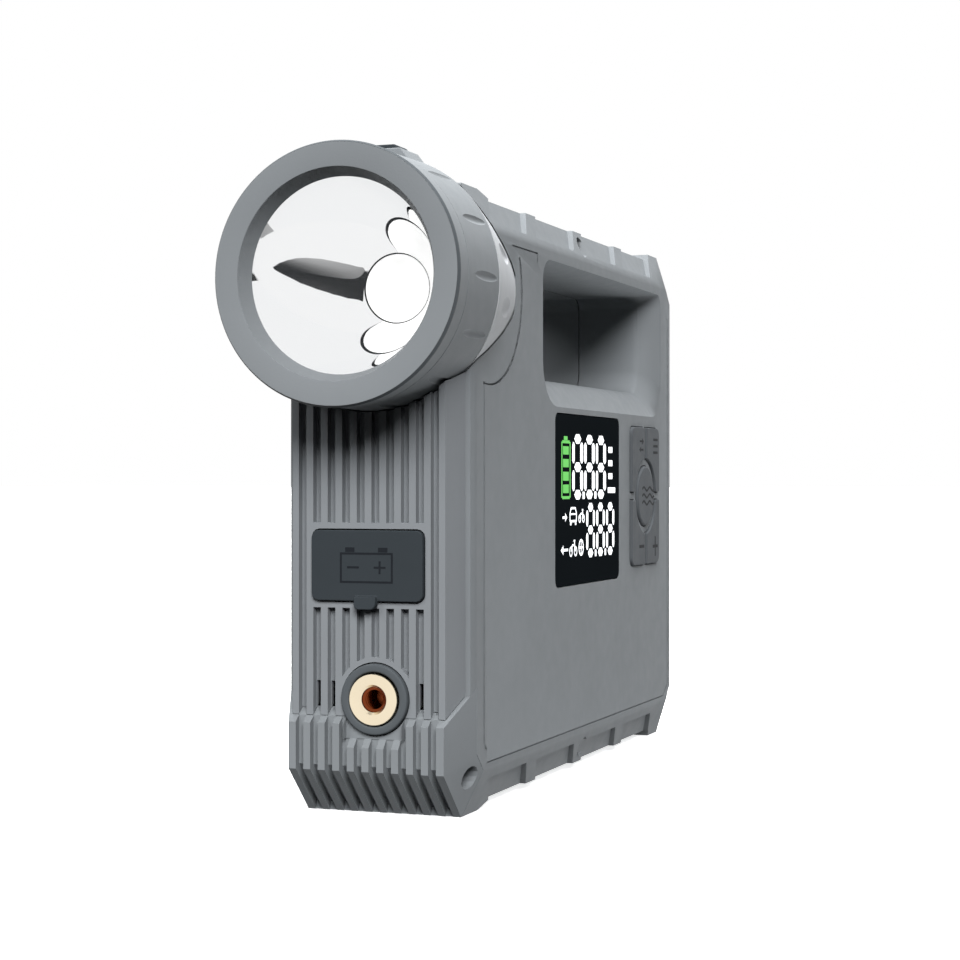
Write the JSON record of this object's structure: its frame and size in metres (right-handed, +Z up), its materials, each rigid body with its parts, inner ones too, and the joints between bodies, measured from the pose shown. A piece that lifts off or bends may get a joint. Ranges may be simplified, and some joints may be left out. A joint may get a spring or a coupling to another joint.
{
  "type": "jump starter pack",
  "caption": "Hand-held car battery booster with carry handle, front work lamp, tyre inflator outlet, covered jump lead socket, side display and keys.",
  "frame": {"origin": "centre of the whole object's outline at the level of the feet it stands on", "axes": "+Y from the lamp towards the rear end, +X towards the side with the display and keys, +Z up towards the handle"},
  "size_m": [0.0608, 0.216, 0.16],
  "materials": {
    "shell_grey": "fine textured moulded plastic",
    "panel_grey": "fine textured moulded plastic",
    "cone_grey": "light satin moulded plastic",
    "barrel_grey": "satin moulded plastic",
    "key_grey": "soft matt keys with pale marks",
    "cover_rubber": "matt moulded rubber",
    "window_black": "gloss black window with lit segments",
    "lens_clear": "clear moulded lens",
    "mirror_chrome": "bright plated reflector",
    "led_white": "white solder mask",
    "led_yellow": "phosphor",
    "aluminium": "cast and turned",
    "brass": "polished, copper toned bore",
    "ring_grey": "satin moulded ring",
    "steel": "plain",
    "board_green": "solder mask",
    "socket_blue": "glass-filled nylon",
    "cell_foil": "laminated foil pouch in a film wrap",
    "black_plastic": "moulded",
    "hose_black": "soft tube",
    "gear_nylon": "natural nylon"
  },
  "bodies": {
    "housing": {"left_shell": "shell_grey", "right_shell": "shell_grey", "front_panel": "panel_grey", "front_bumper": "shell_grey", "rear_panel": "panel_grey", "lamp_housing": "cone_grey", "lamp_barrel": "barrel_grey", "lamp_bezel": "barrel_grey", "lamp_lens": "lens_clear", "lamp_mirror": "mirror_chrome", "led_board": "led_white", "led_chip": "led_yellow", "lamp_heat_sink": "aluminium", "lamp_switch": "black_plastic", "display_window": "window_black", "display_module": "black_plastic", "control_board": "board_green", "key_pad": "cover_rubber", "jump_socket": "socket_blue", "socket_contact_negative": "brass", "socket_contact_positive": "brass", "usb_a_port": "steel", "usb_c_port": "steel", "port_board": "board_green", "air_outlet_fitting": "brass", "air_outlet_ring": "ring_grey", "air_hose": "hose_black", "inflator_frame": "aluminium", "inflator_motor": "steel", "inflator_cylinder": "aluminium", "cylinder_head": "aluminium", "battery_cell_1": "cell_foil", "battery_cell_2": "cell_foil", "battery_cell_3": "cell_foil", "battery_tray": "black_plastic", "main_board": "board_green", "shell_screw_front_bottom": "steel", "shell_screw_rear_bottom": "steel", "shell_screw_rear_top": "steel", "shell_screw_middle_bottom": "steel", "shell_screw_middle_top": "steel"},
    "jump_cover": {"jump_socket_cover": "cover_rubber"},
    "port_flap": {"port_cover": "cover_rubber"},
    "unit_key": {"key_unit": "key_grey"},
    "mode_key": {"key_mode": "key_grey"},
    "minus_key": {"key_minus": "key_grey"},
    "plus_key": {"key_plus": "key_grey"},
    "air_key": {"key_air": "key_grey"},
    "lamp_button": {"lamp_key": "cover_rubber"},
    "pinion": {"motor_pinion": "brass"},
    "crank": {"crank_gear": "gear_nylon"},
    "piston": {"piston_rod": "aluminium"}
  },
  "joints": [
    {"name": "jump_cover_hinge", "type": "hinge", "parent": "housing", "child": "jump_cover", "pos_m": [0, -0.0891, 0.0676], "axis": [-1, 0, 0], "range_deg": [0, 110]},
    {"name": "port_cover_hinge", "type": "hinge", "parent": "housing", "child": "port_flap", "pos_m": [0, 0.1069, 0.0717], "axis": [1, 0, 0], "range_deg": [0, 110]},
    {"name": "unit_key_press", "type": "slide", "parent": "housing", "child": "unit_key", "axis": [-1, 0, 0], "range_m": [0, 0.0006], "stiffness_N_per_m": 600, "springref_m": -0.0005},
    {"name": "mode_key_press", "type": "slide", "parent": "housing", "child": "mode_key", "axis": [-1, 0, 0], "range_m": [0, 0.0006], "stiffness_N_per_m": 600, "springref_m": -0.0005},
    {"name": "minus_key_press", "type": "slide", "parent": "housing", "child": "minus_key", "axis": [-1, 0, 0], "range_m": [0, 0.0006], "stiffness_N_per_m": 600, "springref_m": -0.0005},
    {"name": "plus_key_press", "type": "slide", "parent": "housing", "child": "plus_key", "axis": [-1, 0, 0], "range_m": [0, 0.0006], "stiffness_N_per_m": 600, "springref_m": -0.0005},
    {"name": "air_key_press", "type": "slide", "parent": "housing", "child": "air_key", "axis": [-1, 0, 0], "range_m": [0, 0.0006], "stiffness_N_per_m": 600, "springref_m": -0.0005},
    {"name": "lamp_button_press", "type": "slide", "parent": "housing", "child": "lamp_button", "axis": [0, 0, -1], "range_m": [0, 0.0008], "stiffness_N_per_m": 600, "springref_m": -0.0005},
    {"name": "crank_spin", "type": "hinge", "parent": "housing", "child": "crank", "pos_m": [0, -0.0382, 0.051], "axis": [0, 1, 0], "continuous": true},
    {"name": "pinion_spin", "type": "hinge", "parent": "housing", "child": "pinion", "pos_m": [0, -0.0382, 0.0753], "axis": [0, 1, 0], "continuous": true},
    {"name": "piston_stroke", "type": "slide", "parent": "housing", "child": "piston", "axis": [0, 0, 1], "range_m": [0, 0.01]}
  ],
  "couplings": [
    {"joint": "pinion_spin", "follows": "crank_spin", "ratio": -4}
  ]
}
